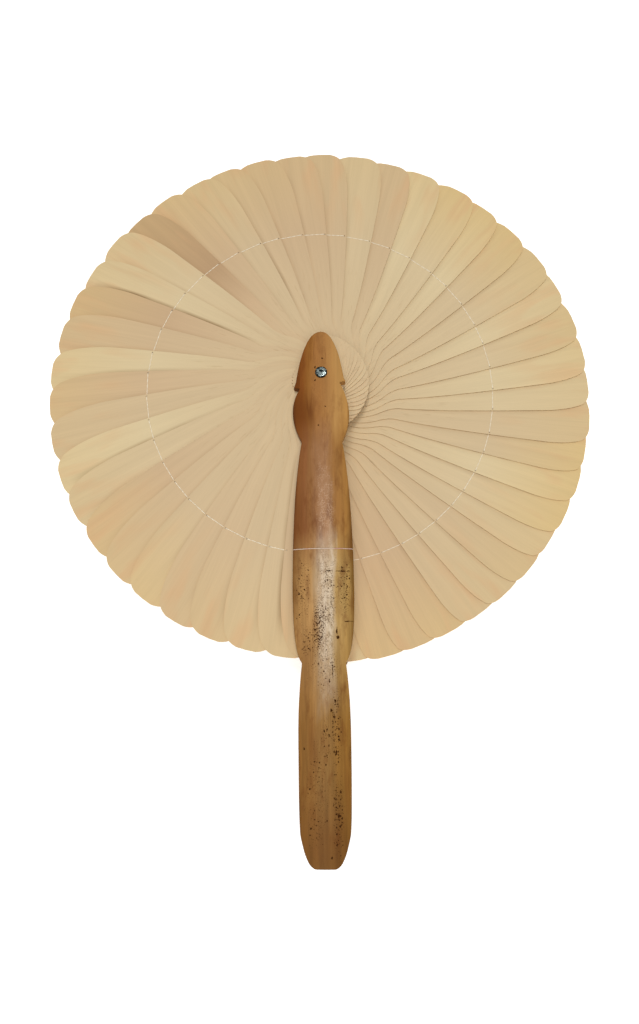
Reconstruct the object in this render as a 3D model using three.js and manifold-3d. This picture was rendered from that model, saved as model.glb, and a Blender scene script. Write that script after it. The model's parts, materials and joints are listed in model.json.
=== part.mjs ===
// Round folding hand fan: thin wooden blades on one nail between two bamboo guards, linked by a thread.
// Millimetres, +Z up. The open fan lies on its back: the nail's axis is Z and the grip points to -Y.
// Outlines are written as (half width, distance from the nail towards the tip or grip).
import * as THREE from "three";
import { mergeVertices } from "three/addons/utils/BufferGeometryUtils.js";
import Module from "manifold-3d";

const wasm = await Module();
wasm.setup();

// Spread of the blades
const BLADE_COUNT = 47;
const FIRST_BLADE_DEG = 2.2; // how far the first blade shows past the front guard
const LEAD_DEG = 5.3; // how far the middle blades run ahead of even spacing
const LEAD_SKEW_DEG = 2.8; // shifts that lead towards the rear blades
const DRIFT_DEG = 1.4; // how far blades close up or spread in groups
const DRIFT_PHASE = 0.3; // radians from blade to blade
const STRAY_DEG = 0.6; // how far a single blade lies out of line
const STRAY_PHASE = 2.3; // radians from blade to blade, so that neighbours stray differently

// Head of a blade or guard, an arch that leans in to its crest; the left barb lies lower
const HEAD_LENGTH = 19.8; // nail to the crest of a guard's arch
const BLADE_HEAD_LENGTH = 21.6; // the heels of the blades stand a little past the guards
const ARCH_CROWN = 0.58; // width of the arch's crown, as a share of its barb
const ARCH_HAUNCH = 0.855; // the same lower down, where the sides straighten
const ARCH_HAUNCH_AT = 0.54; // share of the way from crest to barb
const RIGHT_BARB_HALF_WIDTH = 10.3;
const RIGHT_BARB_AT = 3.8;
const LEFT_BARB_HALF_WIDTH = 11.8;
const LEFT_BARB_AT = 6.5;
const NOTCH_DEPTH = 2.2;
const NOTCH_DROP = 0.5;
const RIGHT_BULGE_HALF_WIDTH = 12.2;
const LEFT_BULGE_HALF_WIDTH = 12.8;
const BULGE_AT = 18.2;
const WAIST_HALF_WIDTH = 8.9;
const WAIST_AT = 31.6;

// Blade beyond the waist
const FAN_RADIUS = 125; // nail to the crest of a blade's tip
const BLADE_THICKNESS = 0.35;
const BLADE_GAP = 0.2; // air between neighbours, and between a guard and its blade
const BLADE_FLARE_HALF_WIDTH = 12;
const BLADE_FLARE_LENGTH = 18; // waist to the point where the flare eases
const BLADE_HALF_WIDTH = 14.3;

// Tip of a blade: the first blades are trimmed round, the last ones nearly square.
// Each pair holds the first and the last blade; a drop is measured back from the crest.
const TIP_LENGTH = [30, 15]; // drop of the widest place
const TIP_SIDE_DROP = [14, 6.5]; // where the sides would end if they were straight
const TIP_SHOULDER = [10.7, 12.6]; // half width where the corner begins
const TIP_SHOULDER_DROP = [5.5, 2.6];
const TIP_CORNER = [8.6, 11.6]; // half width of the corner before it is rounded
const TIP_CORNER_DROP = [1.4, 0.4];
const TIP_END = [4, 8.5]; // half width of the nearly straight end
const TIP_END_DROP = [0.2, 0];

// Guard beyond the waist
const GUARD_THICKNESS = 6;
const CULM_RADIUS = 34; // outside of the bamboo that the guard is split from
const PLANED_WIDTH = 9; // flat strip along the crown
const GUARD_FLARE_HALF_WIDTH = 12.85;
const GUARD_FLARE_LENGTH = 21.4;
const GUARD_HALF_WIDTH = 12.95;
const GUARD_WIDEST_AT = 96;
const GUARD_SHOULDER_AT = 122; // where the body would end if its sides were straight
const NECK_HALF_WIDTH = 9.05;
const NECK_AT = 126;
const GRIP_HALF_WIDTH = 10.65;
const GRIP_AT = 152; // where the neck has widened to the full grip
const GRIP_TAPER_FROM = 186; // where the sides of the grip would start to close if they were straight
const GRIP_END_HALF_WIDTH = 10; // where the rounded corners begin
const GRIP_END = 204.4;
const GRIP_CORNER = 12.9; // length of the rounded corners
const GRIP_CORNER_INSET = 2.4; // how far the corners lean in before they turn
const GRIP_END_FLAT = 7; // width of the straight end

// Nail
const NAIL_DIAMETER = 2.4;
const NAIL_CLEARANCE = 0.25; // to the wall of a bore
const NAIL_HEAD_DIAMETER = 5.4;
const NAIL_HEAD_HEIGHT = 0.9;
const NAIL_HEAD_RIM = 0.4; // straight wall below the dome
const NAIL_HEAD_FLAT = 2.2; // width of the hammered flat on the dome
const NAIL_TAIL_DIAMETER = 5;
const NAIL_TAIL_THICKNESS = 0.8; // clinched end, sunk level with the back of the rear guard
const SEAT_CLEARANCE = 0.1;

// Thread
const THREAD_AT = 79; // along a blade
const THREAD_ON_GUARD = 79; // along a guard
const THREAD_WIDTH = 0.5;
const THREAD_CLEARANCE = 0.04; // to the wood on either side
const THREAD_HOLE_CLEARANCE = 0.2;
const THREAD_HOLE_EDGE = 0.5; // wood left between a hole and the edge of the blade
const THREAD_TAIL = 1.5; // end of the thread, up from the inner face of a guard

// Facets
const BLADE_CURVE_SEGMENTS = 4;
const GUARD_CURVE_SEGMENTS = 7;
const CROWN_FACETS = 5; // on each side of the planed strip
const BORE_SIDES = 12;
const HOLE_SIDES = 6;
const NAIL_SIDES = 20;
const DOME_RINGS = 3;
const CUT_MARGIN = 1; // how far a cutting solid runs past what it cuts

const BLADE_PITCH = BLADE_THICKNESS + BLADE_GAP;
const THREAD_THICKNESS = BLADE_GAP - 2 * THREAD_CLEARANCE;
const THREAD_HOLE_RADIUS = Math.hypot(THREAD_WIDTH, THREAD_THICKNESS) / 2 + THREAD_HOLE_CLEARANCE;
const BORE_RADIUS = NAIL_DIAMETER / 2 + NAIL_CLEARANCE;
const REAR_INNER_Z = GUARD_THICKNESS;
const FRONT_INNER_Z = REAR_INNER_Z + BLADE_GAP + BLADE_COUNT * BLADE_PITCH;
const FRONT_OUTER_Z = FRONT_INNER_Z + GUARD_THICKNESS;

// Place of blade k, counted from 1 in front to BLADE_COUNT behind
function bladeBottom(k) {
  return REAR_INNER_Z + BLADE_GAP + (BLADE_COUNT - k) * BLADE_PITCH;
}

// Clockwise angle of blade k from the grip, seen from the front. Blade 1 lies close behind the front guard.
function bladeAngle(k) {
  const share = (k - 1) / BLADE_COUNT;
  const swell = Math.sin(Math.PI * share);
  const lead = LEAD_DEG * swell - LEAD_SKEW_DEG * Math.sin(2 * Math.PI * share);
  const stray = STRAY_DEG * Math.sin(STRAY_PHASE * k) - DRIFT_DEG * Math.sin(DRIFT_PHASE * k);
  const first = k === 1 ? FIRST_BLADE_DEG : 0;
  return 2 * Math.PI * share + THREE.MathUtils.degToRad(first + lead + stray * swell);
}

// Solids for joins and cuts
function solidOf(geometry) {
  const bare = geometry.clone();
  bare.deleteAttribute("normal");
  bare.deleteAttribute("uv");
  const merged = mergeVertices(bare, 1e-4);
  return new wasm.Manifold(
    new wasm.Mesh({
      numProp: 3,
      vertProperties: merged.attributes.position.array,
      triVerts: new Uint32Array(merged.index.array),
    }),
  );
}

function geometryOf(solid) {
  const mesh = solid.getMesh();
  const geometry = new THREE.BufferGeometry();
  geometry.setAttribute("position", new THREE.BufferAttribute(mesh.vertProperties, 3));
  geometry.setIndex(new THREE.BufferAttribute(mesh.triVerts, 1));
  geometry.computeVertexNormals();
  return geometry;
}

function circlePath(x, y, radius, sides) {
  const points = [];
  for (let i = 0; i < sides; i++) {
    const angle = (2 * Math.PI * i) / sides;
    points.push(new THREE.Vector2(x + radius * Math.cos(angle), y + radius * Math.sin(angle)));
  }
  return new THREE.Path(points);
}

function bore(radius, bottom, top) {
  const cylinder = new THREE.CylinderGeometry(radius, radius, top - bottom, NAIL_SIDES);
  cylinder.rotateX(Math.PI / 2);
  cylinder.translate(0, 0, (bottom + top) / 2);
  return solidOf(cylinder);
}

// Outlines: each half runs from the arch's crest to the far end.
// A curve leaves out its first point, which ends the curve before it.
function quadratic(from, control, to, segments) {
  const points = [from, control, to].map(([x, y]) => new THREE.Vector2(x, y));
  return new THREE.QuadraticBezierCurve(...points).getPoints(segments).slice(1);
}

function cubic(from, leaving, arriving, to, segments) {
  const points = [from, leaving, arriving, to].map(([x, y]) => new THREE.Vector2(x, y));
  return new THREE.CubicBezierCurve(...points).getPoints(segments).slice(1);
}

function headHalf(headLength, { barb, bulge }, segments) {
  const crest = [0, -headLength];
  const crown = [ARCH_CROWN * barb[0], -headLength];
  const haunch = [ARCH_HAUNCH * barb[0], THREE.MathUtils.lerp(-headLength, barb[1], ARCH_HAUNCH_AT)];
  const notch = [barb[0] - NOTCH_DEPTH, barb[1] + NOTCH_DROP];
  const waist = [WAIST_HALF_WIDTH, WAIST_AT];
  const bulgeControl = [
    2 * bulge - (notch[0] + waist[0]) / 2,
    2 * BULGE_AT - (notch[1] + waist[1]) / 2,
  ];
  return [
    new THREE.Vector2(...crest),
    ...cubic(crest, crown, haunch, barb, segments),
    new THREE.Vector2(...notch),
    ...quadratic(notch, bulgeControl, waist, segments),
  ];
}

function bladeHalf(k, side) {
  const share = (k - 1) / (BLADE_COUNT - 1);
  const forBlade = ([first, last]) => THREE.MathUtils.lerp(first, last, share);
  const atTip = (width, drop) => [forBlade(width), FAN_RADIUS - forBlade(drop)];
  const full = [BLADE_HALF_WIDTH, BLADE_HALF_WIDTH];
  const waist = [WAIST_HALF_WIDTH, WAIST_AT];
  const flare = [BLADE_FLARE_HALF_WIDTH, WAIST_AT + BLADE_FLARE_LENGTH];
  const widest = atTip(full, TIP_LENGTH);
  const shoulder = atTip(TIP_SHOULDER, TIP_SHOULDER_DROP);
  const corner = atTip(TIP_CORNER, TIP_CORNER_DROP);
  const end = atTip(TIP_END, TIP_END_DROP);
  return [
    ...headHalf(BLADE_HEAD_LENGTH, side, BLADE_CURVE_SEGMENTS),
    ...quadratic(waist, flare, widest, BLADE_CURVE_SEGMENTS),
    ...quadratic(widest, atTip(full, TIP_SIDE_DROP), shoulder, BLADE_CURVE_SEGMENTS),
    ...quadratic(shoulder, corner, end, BLADE_CURVE_SEGMENTS),
    new THREE.Vector2(0, FAN_RADIUS),
  ];
}

function guardHalf(side) {
  const waist = [WAIST_HALF_WIDTH, WAIST_AT];
  const flare = [GUARD_FLARE_HALF_WIDTH, WAIST_AT + GUARD_FLARE_LENGTH];
  const widest = [GUARD_HALF_WIDTH, GUARD_WIDEST_AT];
  const neck = [NECK_HALF_WIDTH, NECK_AT];
  const grip = [GRIP_HALF_WIDTH, GRIP_AT];
  const taper = [GRIP_HALF_WIDTH, GRIP_TAPER_FROM];
  const corner = [GRIP_END_HALF_WIDTH, GRIP_END - GRIP_CORNER];
  const turn = [corner[0] - GRIP_CORNER_INSET, GRIP_END];
  const end = [GRIP_END_FLAT / 2, GRIP_END];
  return [
    ...headHalf(HEAD_LENGTH, side, GUARD_CURVE_SEGMENTS),
    ...quadratic(waist, flare, widest, GUARD_CURVE_SEGMENTS),
    ...quadratic(widest, [GUARD_HALF_WIDTH, GUARD_SHOULDER_AT], neck, GUARD_CURVE_SEGMENTS),
    ...quadratic(neck, [GRIP_HALF_WIDTH, (NECK_AT + GRIP_AT) / 2], grip, GUARD_CURVE_SEGMENTS),
    ...quadratic(grip, taper, corner, GUARD_CURVE_SEGMENTS),
    ...quadratic(corner, turn, end, GUARD_CURVE_SEGMENTS),
    new THREE.Vector2(0, GRIP_END),
  ];
}

// The tip or grip points to -Y.
function outlineShape(rightHalf, leftHalf) {
  const right = rightHalf.map((p) => new THREE.Vector2(p.x, -p.y));
  const left = leftHalf.slice(1, -1).map((p) => new THREE.Vector2(-p.x, -p.y));
  return new THREE.Shape([...right, ...left.reverse()]);
}

function halfWidthAt(half, along) {
  for (let i = half.length - 1; i > 0; i--) {
    const [a, b] = [half[i - 1], half[i]];
    if (a.y <= along && along <= b.y) {
      return THREE.MathUtils.mapLinear(along, a.y, b.y, a.x, b.x);
    }
  }
  return 0;
}

const rightSide = { barb: [RIGHT_BARB_HALF_WIDTH, RIGHT_BARB_AT], bulge: RIGHT_BULGE_HALF_WIDTH };
const leftSide = { barb: [LEFT_BARB_HALF_WIDTH, LEFT_BARB_AT], bulge: LEFT_BULGE_HALF_WIDTH };
const guardRight = guardHalf(rightSide);
const guardLeft = guardHalf(leftSide);

// Sideways place of blade k's thread hole
function holeAt(k) {
  return THREAD_HOLE_EDGE + THREAD_HOLE_RADIUS - halfWidthAt(bladeHalf(k, leftSide), THREAD_AT);
}

// A blade: flat veneer with a bore for the nail and a thread hole by its clockwise edge
function bladeGeometry(k) {
  const shape = outlineShape(bladeHalf(k, rightSide), bladeHalf(k, leftSide));
  shape.holes.push(circlePath(0, 0, BORE_RADIUS, BORE_SIDES));
  shape.holes.push(circlePath(holeAt(k), -THREAD_AT, THREAD_HOLE_RADIUS, HOLE_SIDES));
  return new THREE.ExtrudeGeometry(shape, { depth: BLADE_THICKNESS, bevelEnabled: false });
}

// Crown of a guard: the round outside of the bamboo with a flat strip planed along it, from right to left
function crownPoints(inset) {
  const radius = CULM_RADIUS - inset;
  const flat = PLANED_WIDTH / 2;
  const centre = GUARD_THICKNESS - inset - Math.sqrt(radius ** 2 - flat ** 2);
  const reach = Math.max(...[...guardLeft, ...guardRight].map((p) => p.x)) + CUT_MARGIN;
  const points = [];
  for (const side of [1, -1]) {
    for (let i = 0; i <= CROWN_FACETS; i++) {
      const share = side > 0 ? i / CROWN_FACETS : 1 - i / CROWN_FACETS;
      const x = THREE.MathUtils.lerp(reach, flat, share);
      points.push(new THREE.Vector2(side * x, centre + Math.sqrt(radius ** 2 - x ** 2)));
    }
  }
  return points;
}

// A bar of that section, along -Y between two distances from the nail
function crownBar(inset, from, to) {
  const crown = crownPoints(inset);
  const foot = [crown.at(-1), crown[0]].map((p) => new THREE.Vector2(p.x, 0));
  const bar = new THREE.ExtrudeGeometry(new THREE.Shape([...foot, ...crown]), {
    depth: to - from,
    bevelEnabled: false,
  });
  bar.rotateX(Math.PI / 2);
  bar.translate(0, -from, 0);
  return solidOf(bar);
}

// A guard with its inner face at z = 0: sawn to its outline, bored, and grooved across the crown for the
// thread. The rear one also has a seat for the nail's tail.
function guardGeometry(rightHalf, leftHalf, seatRadius, seatDepth) {
  const outline = new THREE.ExtrudeGeometry(outlineShape(rightHalf, leftHalf), {
    depth: GUARD_THICKNESS + 2 * CUT_MARGIN,
    bevelEnabled: false,
  });
  outline.translate(0, 0, -CUT_MARGIN);
  const grooveHalf = THREAD_WIDTH / 2 + THREAD_HOLE_CLEARANCE;
  const grooveFrom = THREAD_ON_GUARD - grooveHalf;
  const grooveTo = THREAD_ON_GUARD + grooveHalf;
  const grooveDepth = THREAD_THICKNESS + 2 * THREAD_CLEARANCE;
  const strip = crownBar(0, -HEAD_LENGTH - CUT_MARGIN, grooveFrom)
    .add(crownBar(grooveDepth, grooveFrom - CUT_MARGIN, grooveTo + CUT_MARGIN))
    .add(crownBar(0, grooveTo, GRIP_END + CUT_MARGIN));
  let guard = solidOf(outline).intersect(strip);
  guard = guard.subtract(bore(BORE_RADIUS, -CUT_MARGIN, GUARD_THICKNESS + CUT_MARGIN));
  if (seatDepth > 0) {
    guard = guard.subtract(bore(seatRadius, GUARD_THICKNESS - seatDepth, GUARD_THICKNESS + CUT_MARGIN));
  }
  return geometryOf(guard);
}

// The nail: clinched tail at the back, plain shank, hammered head on the front guard
function nailGeometry() {
  const shank = NAIL_DIAMETER / 2;
  const tail = NAIL_TAIL_DIAMETER / 2;
  const head = NAIL_HEAD_DIAMETER / 2;
  const under = FRONT_OUTER_Z + SEAT_CLEARANCE;
  const top = under + NAIL_HEAD_HEIGHT;
  const rim = [head, under + NAIL_HEAD_RIM];
  const wall = [
    [0, 0],
    [tail, 0],
    [tail, NAIL_TAIL_THICKNESS],
    [shank, NAIL_TAIL_THICKNESS],
    [shank, under],
    [head, under],
    rim,
  ];
  const profile = [
    ...wall.map(([r, z]) => new THREE.Vector2(r, z)),
    ...quadratic(rim, [head, top], [NAIL_HEAD_FLAT / 2, top], DOME_RINGS),
    new THREE.Vector2(0, top),
  ];
  return new THREE.LatheGeometry(profile, NAIL_SIDES).rotateX(Math.PI / 2);
}

// The thread's route, tied round the front guard, through every blade, then round the rear guard.
// Each point has the direction in which the flattened thread is wide.
function threadRoute() {
  const across = new THREE.Vector3(0, -1, 0);
  const half = halfWidthAt(guardLeft, THREAD_ON_GUARD);
  const lift = THREAD_CLEARANCE + THREAD_THICKNESS / 2;
  const side = half + lift + THREAD_CLEARANCE;
  const floor = crownPoints(THREAD_THICKNESS + 2 * THREAD_CLEARANCE);
  const edge = floor.filter((p) => p.x >= half).at(-1);
  const inner = floor.find((p) => p.x < half);
  const edgeHeight = THREE.MathUtils.mapLinear(side, edge.x, inner.x, edge.y, inner.y);
  const overCrown = [
    [side, edgeHeight + lift],
    ...floor.filter((p) => Math.abs(p.x) < half).map((p) => [p.x, p.y + lift]),
    [-side, edgeHeight + lift],
  ];
  const route = [];
  const wrap = (x, z) => route.push({ at: new THREE.Vector3(x, -THREAD_ON_GUARD, z), wide: across });
  const level = (k) => bladeBottom(k) + BLADE_THICKNESS + BLADE_GAP / 2;

  wrap(-side, FRONT_INNER_Z + THREAD_TAIL);
  for (const [x, height] of overCrown.toReversed()) {
    wrap(x, FRONT_INNER_Z + height);
  }
  wrap(side, level(1));
  for (let k = 1; k <= BLADE_COUNT; k++) {
    const turn = new THREE.Euler(0, 0, -bladeAngle(k));
    const hole = new THREE.Vector3(holeAt(k), -THREAD_AT, 0).applyEuler(turn);
    const wide = hole.clone().normalize();
    route.push({ at: hole.clone().setZ(level(k)), wide });
    route.push({ at: hole.clone().setZ(level(k + 1)), wide });
  }
  wrap(side, level(BLADE_COUNT + 1));
  for (const [x, height] of overCrown) {
    wrap(x, REAR_INNER_Z - height);
  }
  wrap(-side, REAR_INNER_Z - THREAD_TAIL);
  return route;
}

// A flat section carried along the route, mitred at each bend and closed at both ends
function threadGeometry() {
  const route = threadRoute();
  const normals = route.slice(1).map((point, i) => {
    const run = point.at.clone().sub(route[i].at);
    return run.cross(route[i].wide.clone().add(point.wide)).normalize();
  });
  const corners = [];
  route.forEach(({ at, wide }, i) => {
    const before = normals[Math.max(i - 1, 0)];
    const after = normals[Math.min(i, normals.length - 1)];
    const mitre = before.clone().add(after).divideScalar(1 + before.dot(after));
    for (const [w, t] of [[1, 1], [-1, 1], [-1, -1], [1, -1]]) {
      const corner = at.clone().addScaledVector(wide, (w * THREAD_WIDTH) / 2);
      corners.push(corner.addScaledVector(mitre, (t * THREAD_THICKNESS) / 2));
    }
  });
  const faces = [];
  for (let i = 0; i + 1 < route.length; i++) {
    for (let j = 0; j < 4; j++) {
      const a = 4 * i + j;
      const b = 4 * i + ((j + 1) % 4);
      faces.push(a, b, b + 4, a, b + 4, a + 4);
    }
  }
  const last = 4 * (route.length - 1);
  faces.push(0, 2, 1, 0, 3, 2);
  faces.push(last, last + 1, last + 2, last, last + 2, last + 3);
  const geometry = new THREE.BufferGeometry().setFromPoints(corners);
  geometry.setIndex(faces);
  geometry.computeVertexNormals();
  return geometry;
}

// Materials
const bamboo = { color: "#96652f", roughness: 0.42, metalness: 0 };
const steel = { color: "#a7acb2", roughness: 0.38, metalness: 1 };
const cotton = { color: "#e2cbb6", roughness: 0.85, metalness: 0 };
const veneerPale = new THREE.Color("#dcc89c");
const veneerPink = new THREE.Color("#d2b090");

function veneer(k) {
  const share = 0.5 + 0.5 * Math.sin(1.7 * k);
  return { color: veneerPale.clone().lerp(veneerPink, share), roughness: 0.62, metalness: 0 };
}

function piece(name, geometry, material) {
  const mesh = new THREE.Mesh(geometry, new THREE.MeshStandardMaterial(material));
  mesh.name = name;
  return mesh;
}

// Assembly
const fan = new THREE.Group();
fan.name = "folding_hand_fan";

// The rear guard is turned over, so its right half lies on the fan's left.
const seatRadius = NAIL_TAIL_DIAMETER / 2 + NAIL_CLEARANCE;
const seatDepth = NAIL_TAIL_THICKNESS + SEAT_CLEARANCE;
const rearGuard = piece("rear_guard", guardGeometry(guardLeft, guardRight, seatRadius, seatDepth), bamboo);
rearGuard.rotation.y = Math.PI;
rearGuard.position.z = REAR_INNER_Z;
fan.add(rearGuard);

const frontGuard = piece("front_guard", guardGeometry(guardRight, guardLeft, 0, 0), bamboo);
frontGuard.position.z = FRONT_INNER_Z;
fan.add(frontGuard);

for (let k = 1; k <= BLADE_COUNT; k++) {
  const blade = piece("blade_" + String(k).padStart(2, "0"), bladeGeometry(k), veneer(k));
  blade.rotation.z = -bladeAngle(k);
  blade.position.z = bladeBottom(k);
  fan.add(blade);
}

fan.add(piece("pivot_nail", nailGeometry(), steel));
fan.add(piece("link_thread", threadGeometry(), cotton));

export default fan;
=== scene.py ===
import json
import math
import random

import bmesh
import bpy
from mathutils import Matrix, Vector


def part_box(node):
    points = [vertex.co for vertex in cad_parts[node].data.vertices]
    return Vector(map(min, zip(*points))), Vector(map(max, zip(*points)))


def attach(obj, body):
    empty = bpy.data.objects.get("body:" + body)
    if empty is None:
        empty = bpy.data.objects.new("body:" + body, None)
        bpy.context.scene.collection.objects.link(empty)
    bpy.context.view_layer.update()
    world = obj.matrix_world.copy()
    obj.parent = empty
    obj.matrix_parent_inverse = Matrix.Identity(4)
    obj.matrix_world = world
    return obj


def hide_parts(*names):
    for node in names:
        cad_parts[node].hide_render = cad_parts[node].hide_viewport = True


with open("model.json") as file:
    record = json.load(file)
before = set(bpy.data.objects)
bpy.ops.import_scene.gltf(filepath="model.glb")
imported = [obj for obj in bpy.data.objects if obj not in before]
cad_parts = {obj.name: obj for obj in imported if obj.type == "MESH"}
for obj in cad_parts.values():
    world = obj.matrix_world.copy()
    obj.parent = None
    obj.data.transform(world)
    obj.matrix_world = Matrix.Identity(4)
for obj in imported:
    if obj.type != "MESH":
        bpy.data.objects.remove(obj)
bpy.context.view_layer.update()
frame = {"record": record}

bpy.ops.object.select_all(action="DESELECT")

# The camera looks down on the open fan from a little below its grip side, close
# enough for the tall guard to lean outwards in the picture.
bpy.ops.object.camera_add(location=(0.00547, -0.14280, 0.36658))
camera = bpy.context.object
camera_right = Vector((0.99971, -0.00859, -0.02253))
camera_up = Vector((0.01364, 0.97198, 0.23468))
camera_back = Vector((0.01988, -0.23492, 0.97181))
turn = Matrix((camera_right, camera_up, camera_back)).transposed()
camera.rotation_euler = turn.to_euler()
camera.data.sensor_fit = "VERTICAL"
camera.data.sensor_height = 36.0
camera.data.lens = 28.15
camera.data.clip_start = 0.01
bpy.context.scene.camera = camera
bpy.context.scene.view_settings.view_transform = "Standard"

# A white sheet of card under the fan, lit evenly from all round, with one soft lamp
# overhead that lays a dull shine on the planed bamboo, and a fill beside the camera.


def linear(hex_colour):
    """Turns an sRGB hex colour into a linear RGBA tuple."""
    parts = [int(hex_colour[i:i + 2], 16) / 255 for i in (1, 3, 5)]
    return (*(p / 12.92 if p <= 0.04045 else ((p + 0.055) / 1.055) ** 2.4 for p in parts), 1.0)


def node(material, kind, sockets=None, stops=None, **settings):
    """Adds a node, gives it its settings and stops, fills or links its sockets."""
    made = material.node_tree.nodes.new("ShaderNode" + kind)
    for name, value in settings.items():
        setattr(made, name, value)
    if stops:
        ramp = made.color_ramp.elements
        while len(ramp) < len(stops):
            ramp.new(1.0)
        for stop, (place, colour) in zip(ramp, stops):
            stop.position = place
            stop.color = linear(colour)
    for name, value in (sockets or {}).items():
        if isinstance(value, bpy.types.NodeSocket):
            material.node_tree.links.new(value, made.inputs[name])
        else:
            made.inputs[name].default_value = value
    return made.outputs


def new_material(name):
    """Starts a material with an empty node tree."""
    material = bpy.data.materials.new(name)
    material.use_nodes = True
    material.node_tree.nodes.clear()
    return material


bpy.ops.mesh.primitive_plane_add(size=8.0, location=(0, 0, -0.0004))
card = bpy.context.object
card.name = "card"
white_card = new_material("white_card")
card_shader = node(white_card, "BsdfPrincipled", {
    "Base Color": linear("#F2F1EF"),
    "Roughness": 0.9,
    "Emission Color": linear("#FFFFFF"),
    "Emission Strength": 0.6,
})
node(white_card, "OutputMaterial", {"Surface": card_shader["BSDF"]})
card.data.materials.append(white_card)

studio = bpy.data.worlds.new("studio")
studio.use_nodes = True
studio.node_tree.nodes["Background"].inputs["Color"].default_value = linear("#FFFFFF")
studio.node_tree.nodes["Background"].inputs["Strength"].default_value = 0.32
bpy.context.scene.world = studio

bpy.ops.object.light_add(type="AREA", location=(0.0, 0.05, 1.04))
lamp = bpy.context.object
lamp.data.shape = "RECTANGLE"
lamp.data.size = 0.20
lamp.data.size_y = 0.24
lamp.data.energy = 3.2
bpy.ops.object.light_add(type="AREA", location=(0.03, -0.34, 0.96))
fill = bpy.context.object
fill.rotation_euler = (math.radians(19), 0.0, 0.0)
fill.data.size = 0.5
fill.data.energy = 3.7
fill.visible_glossy = False

# The front guard is a length of split bamboo, sawn to an arched head with two
# barbs, a waist, a body and a grip. Its round outer skin is planed flat down the
# middle, and the inner side is dressed flat. It turns on the nail.
MM = 0.001
GUARD_HEAD_LENGTH = 19.8
CROWN_SHARE = 0.58
HAUNCH_SHARE, HAUNCH_AT = 0.855, 0.54
LEFT_BARB, LEFT_BARB_AT = 11.8, 6.5
RIGHT_BARB, RIGHT_BARB_AT = 10.3, 3.8
NOTCH_DEPTH, NOTCH_DROP = 2.2, 0.5
RIGHT_BULGE, LEFT_BULGE, BULGE_AT = 12.2, 12.8, 18.2
WAIST, WAIST_AT = 8.9, 31.6
ARCH_STEPS, BULGE_STEPS = 16, 14
BARB_INDEX = ARCH_STEPS
# below the waist, the handle and end of each curve as half width and distance from
# the nail, and its steps: body, neck, grip, the grip's taper and its end
GUARD_CURVES = (
    ((12.85, 53.0), (12.95, 96.0), 16),
    ((12.95, 122.0), (9.05, 126.0), 12),
    ((10.65, 139.0), (10.65, 152.0), 8),
    ((10.65, 186.0), (10.0, 191.5), 10),
    ((7.5, 203.9), (3.3, 203.9), 14),
)
GUARD_THICKNESS = 6.0
SAWN_THICKNESS = 8.0
FRONT_GUARD_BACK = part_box("front_guard")[0].z
ABOVE_FAN = 50.0
CULM_RADIUS = 34.0
CULM_LENGTH, CULM_MIDDLE = 300.0, -90.0
CULM_SIDES = 240
PLANED_WIDTH = 9.0
BORE_RADIUS = 1.45
GUARD_BORE_SIDES = 32
GUARD_FACE_SIZE = 0.38
BARB_SPARE = 0.6
KNIFE_REACH = 0.6
KNIFE_SPARE = 1.5
KNIFE_POINTS = 6
THREAD_AT = 79.0
THREAD_GROOVE_WIDTH = 0.5
THREAD_GROOVE_FROM = 0.6
GROOVE_BLOCK_WIDTH, GROOVE_BLOCK_HEIGHT = 40.0, 12.0
GROOVE_FLOOR_SHARE = (0.968, 1.0, 0.92)


def bezier(points, steps):
    """Gives the points along a Bezier curve, all but its first."""
    found = []
    for step in range(1, steps + 1):
        line = [Vector(p) for p in points]
        while len(line) > 1:
            line = [a.lerp(b, step / steps) for a, b in zip(line, line[1:])]
        found.append(line[0])
    return found


def half_head(length, barb, barb_at, bulge):
    """Half of a head's outline, crest to waist, as half width and distance."""
    crest = Vector((0.0, -length))
    point = Vector((barb, barb_at))
    crown = (CROWN_SHARE * barb, -length)
    haunch = (HAUNCH_SHARE * barb, crest.lerp(point, HAUNCH_AT).y)
    notch = point + Vector((-NOTCH_DEPTH, NOTCH_DROP))
    waist = Vector((WAIST, WAIST_AT))
    swell = 2 * Vector((bulge, BULGE_AT)) - (notch + waist) / 2
    arch = [crest] + bezier([crest, crown, haunch, point], ARCH_STEPS)
    return arch + [notch] + bezier([notch, swell, waist], BULGE_STEPS)


def round_trip(right, left):
    """Joins two halves into one outline in metres, tip or grip towards -Y."""
    trip = [(p.x, -p.y) for p in right] + [(-p.x, -p.y) for p in reversed(left[:-1])]
    return [Vector((x * MM, y * MM, 0.0)) for x, y in trip]


def take(piece):
    """Makes one object the only selected one, and the active one."""
    bpy.ops.object.select_all(action="DESELECT")
    piece.select_set(True)
    bpy.context.view_layer.objects.active = piece


def settle(piece):
    """Puts the place, turn and scale of a piece into its mesh."""
    take(piece)
    bpy.ops.object.transform_apply(location=True, rotation=True, scale=True)


def copied(piece, name):
    """Copies a piece with its own mesh."""
    take(piece)
    bpy.ops.object.duplicate(linked=False)
    copy = bpy.context.object
    copy.name = name
    return copy


def edit_all(piece):
    """Opens a piece in edit mode with all of it selected."""
    take(piece)
    bpy.ops.object.mode_set(mode="EDIT")
    bpy.ops.mesh.select_all(action="SELECT")


def walk(name, points):
    """Walks one vertex along a line of points and stays in edit mode."""
    bpy.ops.object.select_all(action="DESELECT")
    bpy.ops.mesh.primitive_plane_add(size=MM, location=points[0])
    piece = bpy.context.object
    piece.name = name
    settle(piece)
    edit_all(piece)
    bpy.ops.mesh.select_mode(type="VERT")
    bpy.ops.mesh.merge(type="CENTER")
    for here, there in zip(points, points[1:]):
        bpy.ops.mesh.extrude_vertices_move(TRANSFORM_OT_translate={"value": there - here})
    return piece


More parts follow.
